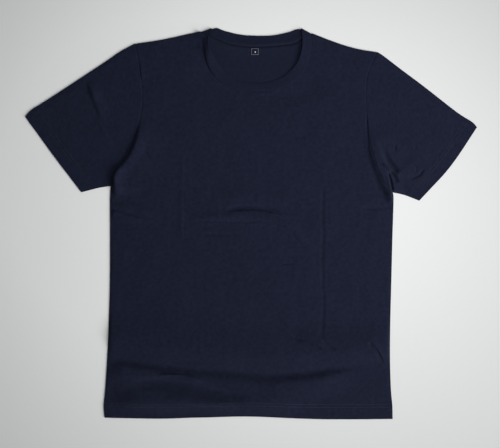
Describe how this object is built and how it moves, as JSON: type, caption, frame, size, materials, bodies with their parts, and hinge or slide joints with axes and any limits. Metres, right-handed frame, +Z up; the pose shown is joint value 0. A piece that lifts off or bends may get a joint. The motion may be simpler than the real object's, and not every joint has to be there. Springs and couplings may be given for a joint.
{
  "type": "crew neck t-shirt",
  "caption": "Short sleeved crew neck t-shirt in dark navy jersey, laid flat on its back with the sleeves spread and soft creases.",
  "frame": {"origin": "on the table, under the middle of the laid garment", "axes": "+X across the chest from the left sleeve to the right one, +Y from the hem to the neck, +Z up from the table"},
  "size_m": [0.8332, 0.7204, 0.0131],
  "materials": {
    "jersey": "matte cotton single jersey, very dark navy",
    "rib": "matte one by one rib knit, very dark navy",
    "woven": "fine woven label, dark, with a pale woven edge"
  },
  "bodies": {
    "root": {"front_panel": "jersey", "back_panel": "jersey", "left_sleeve": "jersey", "right_sleeve": "jersey", "neckband": "rib", "neck_label": "woven"}
  },
  "joints": []
}
